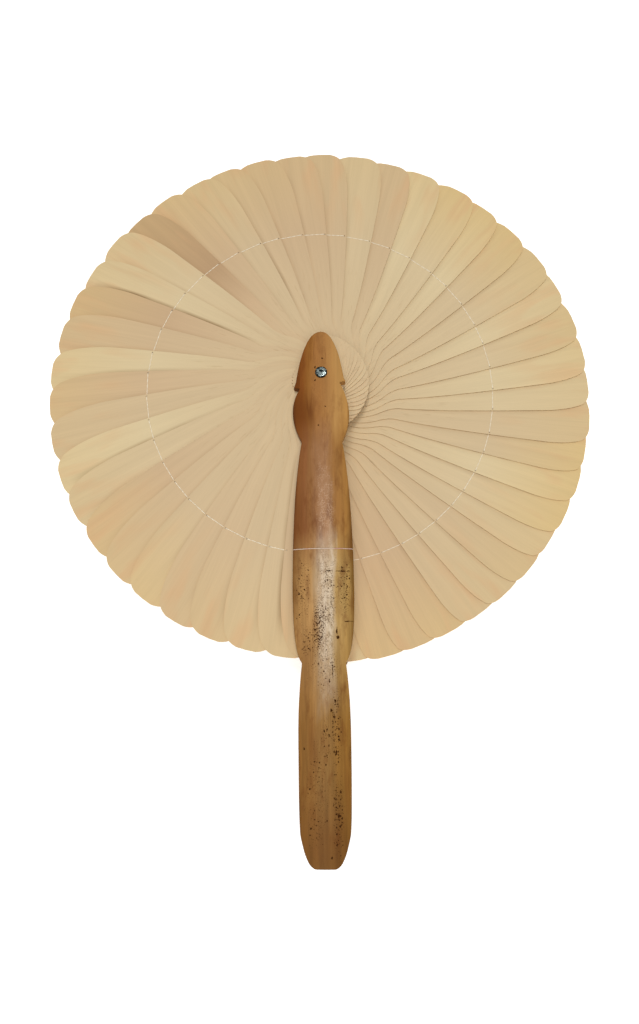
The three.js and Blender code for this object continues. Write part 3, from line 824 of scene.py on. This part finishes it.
past_waist = node(veneer, "MapRange", {
    "Value": blade_axes["Y"], "From Min": -34.0, "From Max": -56.0,
})[0]
on_body = node(veneer, "Math", {0: before_tip, 1: past_waist}, operation="MULTIPLY")[0]
neighbour_shade_patch = wood_patches(veneer, along_grain, (50.0, 35.0, 1.0), 2.0)
neighbour_shade_strength = node(veneer, "Math", {
    0: node(veneer, "MapRange", {
        "Value": neighbour_shade_patch, "From Min": 0.35, "From Max": 0.65, "To Min": 0.25, "To Max": 1.0,
    })[0],
    1: node(veneer, "Attribute", attribute_name="neighbour_shade_of_blade")["Fac"],
}, operation="MULTIPLY")[0]
neighbour_shade_amount = node(veneer, "Math", {
    0: node(veneer, "Math", {0: neighbour_shade_band, 1: on_body}, operation="MULTIPLY")[0], 1: neighbour_shade_strength,
}, operation="MULTIPLY")[0]
# mixes in the painted shadow of the neighbour's edge
veneer_base = node(veneer, "Mix", {
    0: neighbour_shade_amount, 6: veneer_base, 7: linear("#94744C"),
}, data_type="RGBA")[2]
# near the nail the blades have rubbed on each other, in scuffs 1 mm wide and 9 mm long
scuffs = node(veneer, "MapRange", {
    "Value": wood_patches(veneer, along_grain, (1.0, 9.0, 1.0), 3.0, 0.6),
    "From Min": 0.60, "From Max": 0.72, "To Max": 0.3,
})[0]
near_nail = node(veneer, "MapRange", {
    "Value": blade_axes["Y"], "From Min": -72.0, "From Max": -38.0,
})[0]
scuff_amount = node(veneer, "Math", {0: scuffs, 1: near_nail}, operation="MULTIPLY")[0]
veneer_base = node(veneer, "Mix", {
    0: scuff_amount, 6: veneer_base, 7: linear("#A8875C"),
}, data_type="RGBA")[2]
# growth bands 3 mm wide run the length of a blade, fine grain lines are 0.4 mm apart
growth = wood_patches(veneer, along_grain, (3.0, 90.0, 1.0), 2.0)
grain = wood_patches(veneer, along_grain, (1 / 2.4, 22.0, 1.0), 3.0, 0.6)
grain_tone = node(veneer, "MapRange", {
    "Value": grain, "From Min": 0.3, "From Max": 0.7, "To Min": 0.975, "To Max": 1.025,
})[0]
growth_tone = node(veneer, "MapRange", {
    "Value": growth, "From Min": 0.3, "From Max": 0.7, "To Min": 0.97, "To Max": 1.03,
})[0]
veneer_tone = node(veneer, "Math", {0: grain_tone, 1: growth_tone}, operation="MULTIPLY")[0]
veneer_colour = node(veneer, "VectorMath", {
    0: veneer_base, "Scale": veneer_tone,
}, operation="SCALE")[0]
veneer_roughness = node(veneer, "MapRange", {"Value": grain, "To Min": 0.55, "To Max": 0.75})[0]
veneer_bump = node(veneer, "Bump", {"Height": grain, "Strength": 0.3, "Distance": 0.05 * MM})[0]
veneer_shader = node(veneer, "BsdfPrincipled", {
    "Base Color": veneer_colour, "Roughness": veneer_roughness, "Normal": veneer_bump,
    "Specular IOR Level": 0.3,
})
node(veneer, "OutputMaterial", {"Surface": veneer_shader["BSDF"]})

# The cut edges of the veneer, browned by handling and in places worn pale again, show as thin
# lines between the blades; their brown is partly painted shade for the gaps between the blades.
# They are matt.
cut_edge = new_material("browned_and_shaded_veneer_edge")
edge_grain = node(cut_edge, "Attribute", attribute_name="along_grain")["Vector"]
edge_wear_and_shade = wood_patches(cut_edge, edge_grain, (1 / 0.3, 9.0, 1.0), 3.0)
edge_colour = node(cut_edge, "ValToRGB", {"Fac": edge_wear_and_shade}, stops=(
    (0.34, "#94602A"), (0.5, "#C2975C"), (0.66, "#E2C898"),
))["Color"]
edge_shader = node(cut_edge, "BsdfPrincipled", {"Base Color": edge_colour, "Roughness": 0.8})
node(cut_edge, "OutputMaterial", {"Surface": edge_shader["BSDF"]})
master_blade.data.materials.append(veneer)
master_blade.data.materials.append(cut_edge)

ratios = {c["joint"]: c["ratio"] for c in frame["record"]["behaviour"]["couplings"]}
# blades that stand out, by how dark they are, partly as painted shade and light for how each lies
# to the lamps, and those that have gone golden at the rim
STANDING_OUT = {
    0.04: (10, 13, 27, 29, 32, 34, 38), 0.5: (2, 3, 6, 41, 43), 0.6: (4, 5, 7, 14, 21, 24, 26),
    0.68: (1, 8, 12, 19, 22, 23, 44, 45, 46), 0.8: (15,), 1.0: (18,),
}
set_depth = {number: depth for depth, numbers in STANDING_OUT.items() for number in numbers}
USUAL_DEPTH = (0.12, 0.5)
GOLDEN_BLADES = (28, 29, 30, 37, 38, 39)
GOLDEN = 1.5
USUAL_YELLOW = (0.4, 1.0)
# how strong the painted shadow of the neighbour's edge is on these blades, and on the rest
SHADED_BLADES = {2: 1.0, 10: 0.6, 13: 0.4, 16: 1.5, 21: 0.6}
USUAL_NEIGHBOUR_SHADE = 0.2
# each blade takes its grain from a layer of its own, this far from the last
GRAIN_LAYER = 5.3
SHADE_SEED, TRIM_SEED = 47, 12
shade = random.Random(SHADE_SEED)
trimming = random.Random(TRIM_SEED)
turns = {}
lies = {}
holes = {}
for number in range(1, BLADE_COUNT + 1):
    body = f"blade_{number:02d}"
    blade = copied(master_blade, "veneer_" + body)
    share = (number - 1) / (BLADE_COUNT - 1)
    blade.data.shape_keys.key_blocks[1].value = share
    bpy.ops.object.convert(target="MESH")
    blade = bpy.context.object

    # each slip was trimmed by eye, so some end up to 0.8 mm short
    bpy.ops.object.mode_set(mode="EDIT")
    bpy.ops.mesh.select_mode(type="VERT")
    working = bmesh.from_edit_mesh(blade.data)
    for vertex in working.verts:
        vertex.select = vertex.co.y < -TRIM_FROM * MM
    working.select_flush(True)
    shorter = 1.0 - trimming.uniform(0.0, TRIM_MOST) / (FAN_RADIUS - TRIM_FROM)
    bpy.ops.transform.resize(
        value=(1.0, shorter, 1.0), center_override=(0.0, -TRIM_FROM * MM, 0.0)
    )
    bpy.ops.object.mode_set(mode="OBJECT")

    edge = thread_edge["round_blade"] * (1 - share) + thread_edge["square_blade"] * share
    hole_x = THREAD_HOLE_EDGE + THREAD_HOLE_RADIUS - edge
    holes[number] = Vector((hole_x * MM, -THREAD_AT * MM, 0.0))
    drill(blade, 0.0, 0.0, BORE_RADIUS * MM, -MM, MM, BLADE_BORE_SIDES)
    drill(blade, *holes[number].xy, THREAD_HOLE_RADIUS * MM, -MM, MM, THREAD_HOLE_SIDES)

    mesh = blade.data
    for face in mesh.polygons:
        face.material_index = 0 if abs(face.normal.z) > 0.5 else 1
    grain_place = mesh.attributes.new("along_grain", "FLOAT_VECTOR", "POINT")
    for vertex, here in zip(mesh.vertices, grain_place.data):
        here.vector = (vertex.co.x / MM, vertex.co.y / MM, number * GRAIN_LAYER)
    depth = set_depth.get(number, shade.uniform(*USUAL_DEPTH))
    yellow = shade.uniform(*USUAL_YELLOW)
    if number in GOLDEN_BLADES:
        yellow = GOLDEN
    turns[number] = math.radians(360.0 * (1.0 - ratios[body + "_swing"]))
    to_neighbour = turns[number] - turns.get(number - 1, 0.0)
    tone_of_blade = mesh.attributes.new("tone", "FLOAT_VECTOR", "POINT")
    for here in tone_of_blade.data:
        here.vector = (depth, yellow, to_neighbour)
    # the strength of the painted shadow of the neighbour's edge on this blade
    neighbour_shade_of_blade = mesh.attributes.new("neighbour_shade_of_blade", "FLOAT", "POINT")
    for here in neighbour_shade_of_blade.data:
        here.value = SHADED_BLADES.get(number, USUAL_NEIGHBOUR_SHADE)

    tip_angle = TIP_ANGLE * math.sin(math.pi * number / (BLADE_COUNT + 1))
    height = (LOWEST_BLADE + BLADE_PITCH * (BLADE_COUNT - number)) * MM
    lies[number] = (
        Matrix.Translation((0.0, 0.0, height))
        @ Matrix.Rotation(-turns[number], 4, "Z")
        @ Matrix.Rotation(tip_angle, 4, "Y")
    )
    blade.matrix_world = lies[number]
    settle(blade)
    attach(blade, body)
    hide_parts(body)
bpy.data.objects.remove(master_blade)

# The thread is a flattened two-ply cotton that comes up through each blade's hole,
# crosses the next blade and goes down again, so it sets the spacing of the blades.
# Each stitch is modelled on its own blade, because the thread folds between them.
STITCH_LENGTH = 10.0
PLY_STEPS = 20
PLY_TURN = math.radians(40)
PLY_SIDES = 10
PLY_FLATNESS = 0.62
STITCH_WIDTH = 0.4
STITCH_HEIGHT = 0.17
STITCH_CLEARANCE = 0.005
STITCH_DIP = 0.3
DIP_LENGTH = 0.1
GUARD_SIDE_AT_THREAD = 12.4
bpy.ops.object.select_all(action="DESELECT")
bpy.ops.mesh.primitive_circle_add(
    vertices=PLY_SIDES, radius=0.5 * STITCH_WIDTH * MM, fill_type="NGON",
    location=(0.0, 0.0, 0.0), rotation=(0.0, math.pi / 2, 0.0),
)
master_stitch = bpy.context.object
settle(master_stitch)
edit_all(master_stitch)
bpy.ops.transform.resize(value=(1.0, 1.0, PLY_FLATNESS))
bpy.ops.mesh.select_mode(type="FACE")
for step in range(PLY_STEPS):
    advance = STITCH_LENGTH * MM / PLY_STEPS
    bpy.ops.mesh.extrude_region_move(TRANSFORM_OT_translate={"value": (advance, 0, 0)})
    bpy.ops.transform.rotate(
        value=PLY_TURN, orient_axis="X", center_override=((step + 1) * advance, 0, 0)
    )
bpy.ops.mesh.select_all(action="SELECT")
bpy.ops.mesh.normals_make_consistent(inside=False)
bpy.ops.transform.resize(
    value=(1.0, 1.0, STITCH_HEIGHT / STITCH_WIDTH), center_override=(0.0, 0.0, 0.0)
)
# the far end turns down into its hole
working = bmesh.from_edit_mesh(master_stitch.data)
bpy.ops.mesh.select_mode(type="VERT")
for vertex in working.verts:
    vertex.select = vertex.co.x > (STITCH_LENGTH - DIP_LENGTH) * MM
working.select_flush(True)
bpy.ops.transform.translate(value=(0.0, 0.0, -STITCH_DIP * MM))
bpy.ops.object.mode_set(mode="OBJECT")
take(master_stitch)
bpy.ops.object.shade_smooth()

# Cotton thread gone off-white and a little pink with age, matt, with its two plies
# just showing as a fine slant across it.
cotton = new_material("aged_cotton_thread")
cotton_place = node(cotton, "VectorMath", {
    0: node(cotton, "TexCoord")["Object"], "Scale": 1000.0,
}, operation="SCALE")[0]
fuzz = node(cotton, "TexNoise", {"Vector": cotton_place, "Scale": 3.0, "Detail": 3.0})["Fac"]
cotton_colour = node(cotton, "ValToRGB", {"Fac": fuzz}, stops=(
    (0.3, "#E4D2B2"), (0.6, "#F6EBD4"),
))["Color"]
# in the wraps round the guards it is stained pink in patches about 5 mm long
cotton_axes = node(cotton, "SeparateXYZ", {0: cotton_place})
from_middle = node(cotton, "Math", {0: cotton_axes["X"]}, operation="ABSOLUTE")[0]
within_guard = node(cotton, "Math", {
    0: from_middle, 1: GUARD_SIDE_AT_THREAD + 1.0,
}, operation="LESS_THAN")[0]
towards_grip = node(cotton, "Math", {0: cotton_axes["Y"], 1: 0.0}, operation="LESS_THAN")[0]
in_wrap = node(cotton, "Math", {0: within_guard, 1: towards_grip}, operation="MULTIPLY")[0]
pink_patch = node(cotton, "MapRange", {
    "Value": node(cotton, "TexNoise", {"Vector": cotton_place, "Scale": 1 / 5})["Fac"],
    "From Min": 0.42, "From Max": 0.58, "To Min": 0.3, "To Max": 0.85,
})[0]
cotton_colour = node(cotton, "Mix", {
    0: node(cotton, "Math", {0: in_wrap, 1: pink_patch}, operation="MULTIPLY")[0],
    6: cotton_colour, 7: linear("#D29A90"),
}, data_type="RGBA")[2]
cotton_bump = node(cotton, "Bump", {"Height": fuzz, "Strength": 0.4, "Distance": 0.05 * MM})[0]
cotton_shader = node(cotton, "BsdfPrincipled", {
    "Base Color": cotton_colour, "Roughness": 0.85, "Normal": cotton_bump,
})
node(cotton, "OutputMaterial", {"Surface": cotton_shader["BSDF"]})
master_stitch.data.materials.append(cotton)

for number in range(2, BLADE_COUNT + 1):
    before = Matrix.Rotation(turns[number] - turns[number - 1], 3, "Z") @ holes[number - 1]
    run = holes[number] - before
    stitch = copied(master_stitch, f"thread_stitch_{number:02d}")
    above_blade = BLADE_THICKNESS + 0.5 * STITCH_HEIGHT + STITCH_CLEARANCE
    lift = Vector((0.0, 0.0, above_blade * MM))
    stitch.matrix_world = (
        lies[number]
        @ Matrix.Translation(before + lift)
        @ Matrix.Rotation(math.atan2(run.y, run.x), 4, "Z")
        @ Matrix.Diagonal((run.length / (STITCH_LENGTH * MM), 1.0, 1.0, 1.0))
    )
    settle(stitch)
    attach(stitch, f"blade_{number:02d}")
    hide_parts("link_thread")
bpy.data.objects.remove(master_stitch)

# At each end the same thread is taken once round a guard, drawn tight into its
# groove and tied off at the guard's edge.
WRAP_RADIUS = 0.18
WRAP_BITE = 0.04
LEFT_RISES = (1.4, 2.4, 3.2)
RIGHT_RISES = (3.2, 2.2, 1.2, 0.3)
TOP_STEPS = 12
TOP_SHARE = 0.97
BESIDE_GUARD = 30.0


def skin_point(start, direction):
    """Finds where a straight line from outside first meets the front guard."""
    _, where, normal, _ = front_guard.ray_cast(start, direction)
    return where + normal * (WRAP_RADIUS - WRAP_BITE) * MM


wrap_path = []
for rise in LEFT_RISES:
    start = Vector((-BESIDE_GUARD * MM, -THREAD_AT * MM, FRONT_GUARD_BACK + rise * MM))
    wrap_path.append(skin_point(start, Vector((1.0, 0.0, 0.0))))
for step in range(-TOP_STEPS, TOP_STEPS + 1):
    along_top = TOP_SHARE * GUARD_SIDE_AT_THREAD * step / TOP_STEPS
    start = Vector((along_top * MM, -THREAD_AT * MM, ABOVE_FAN * MM))
    wrap_path.append(skin_point(start, Vector((0.0, 0.0, -1.0))))
for rise in RIGHT_RISES:
    start = Vector((BESIDE_GUARD * MM, -THREAD_AT * MM, FRONT_GUARD_BACK + rise * MM))
    wrap_path.append(skin_point(start, Vector((-1.0, 0.0, 0.0))))

front_wrap = walk("thread_wrap_front", wrap_path)
bpy.ops.object.mode_set(mode="OBJECT")
bpy.ops.object.convert(target="CURVE")
front_wrap = bpy.context.object
front_wrap.data.bevel_depth = WRAP_RADIUS * MM
front_wrap.data.bevel_resolution = 2
front_wrap.data.use_fill_caps = True
bpy.ops.object.convert(target="MESH")
front_wrap = bpy.context.object
bpy.ops.object.shade_smooth()
front_wrap.data.materials.append(cotton)
rear_wrap = mirrored(front_wrap, "thread_wrap_rear")
for wrap, body in ((front_wrap, "front_guard"), (rear_wrap, "rear_guard")):
    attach(wrap, body)
    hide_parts("link_thread")

# The pivot is one steel nail driven through both guards and all the blades. Its
# head was beaten flat on the front guard, and its end is clinched into the back.
NAIL_PROFILE = (
    (2.1, 0.10), (2.45, 0.25), (2.45, 0.62), (2.1, 0.85), (1.2, 0.88), (1.2, 37.80),
    (2.55, 37.85), (2.69, 38.05), (2.69, 38.42), (2.58, 38.66), (2.35, 38.82), (2.0, 38.92),
    (1.6, 38.98), (1.2, 39.01), (0.8, 39.03), (0.4, 39.04),
)
NAIL_SIDES = 48
HEAD_FROM = 38.3
BLOW_SIZE = 1.1
BLOW_DEPTH = 0.3
bpy.ops.object.select_all(action="DESELECT")
bpy.ops.mesh.primitive_circle_add(
    vertices=NAIL_SIDES, radius=NAIL_PROFILE[0][0] * MM, fill_type="NGON",
    location=(0.0, 0.0, NAIL_PROFILE[0][1] * MM),
)
nail = bpy.context.object
nail.name = "steel_pivot_nail"
settle(nail)
edit_all(nail)
bpy.ops.mesh.select_mode(type="FACE")
for (radius, z), (next_radius, next_z) in zip(NAIL_PROFILE, NAIL_PROFILE[1:]):
    bpy.ops.mesh.extrude_region_move(TRANSFORM_OT_translate={"value": (0, 0, (next_z - z) * MM)})
    bpy.ops.transform.resize(
        value=(next_radius / radius, next_radius / radius, 1.0),
        center_override=(0.0, 0.0, next_z * MM),
    )
bpy.ops.mesh.select_all(action="SELECT")
bpy.ops.mesh.normals_make_consistent(inside=False)
bpy.ops.object.mode_set(mode="OBJECT")
beaten_part = nail.vertex_groups.new(name="beaten head")
beaten_part.add([v.index for v in nail.data.vertices if v.co.z > HEAD_FROM * MM], 1.0, "REPLACE")
blows = bpy.data.textures.new("hammer_blows", "VORONOI")
blows.noise_scale = BLOW_SIZE * MM
take(nail)
beaten = nail.modifiers.new("hammer blows", "DISPLACE")
beaten.texture = blows
beaten.texture_coords = "LOCAL"
beaten.vertex_group = beaten_part.name
beaten.direction = "NORMAL"
beaten.mid_level = 1.0
beaten.strength = BLOW_DEPTH * MM
bpy.ops.object.modifier_apply(modifier=beaten.name)
bpy.ops.object.shade_smooth_by_angle(angle=math.radians(35))

# Mild steel, beaten and never polished: grey-blue metal with dark scale left in the hollows
# between the hammer marks, about 0.7 mm apart, and darker towards the rim.
steel = new_material("hammered_mild_steel")
steel_place = node(steel, "VectorMath", {
    0: node(steel, "TexCoord")["Object"], "Scale": 1000.0,
}, operation="SCALE")[0]
scale_patches = node(steel, "TexNoise", {
    "Vector": steel_place, "Scale": 1.3, "Detail": 4.0,
})["Fac"]
rim_distance = node(steel, "VectorMath", {
    0: node(steel, "VectorMath", {0: steel_place, 1: (1.0, 1.0, 0.0)}, operation="MULTIPLY")[0],
}, operation="LENGTH")["Value"]
rim_darkening = node(steel, "MapRange", {
    "Value": rim_distance, "From Min": 1.9, "From Max": 2.6, "To Max": 0.14,
})[0]
scale_and_rim_depth = node(steel, "Math", {0: scale_patches, 1: rim_darkening}, operation="ADD")[0]
scale_and_rim_amount = node(steel, "MapRange", {
    "Value": scale_and_rim_depth, "From Min": 0.47, "From Max": 0.6,
})[0]
steel_colour = node(steel, "Mix", {
    0: scale_and_rim_amount, 6: linear("#BCCBC8"), 7: linear("#20292A"),
}, data_type="RGBA")[2]
steel_roughness = node(steel, "MapRange", {
    "Value": scale_and_rim_amount, "To Min": 0.28, "To Max": 0.6,
})[0]
steel_bump = node(steel, "Bump", {
    "Height": scale_patches, "Strength": 0.6, "Distance": 0.2 * MM,
})[0]
steel_shader = node(steel, "BsdfPrincipled", {
    "Base Color": steel_colour, "Roughness": steel_roughness, "Metallic": 1.0,
    "Normal": steel_bump,
})
node(steel, "OutputMaterial", {"Surface": steel_shader["BSDF"]})
nail.data.materials.append(steel)
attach(nail, "rear_guard")
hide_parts("pivot_nail")
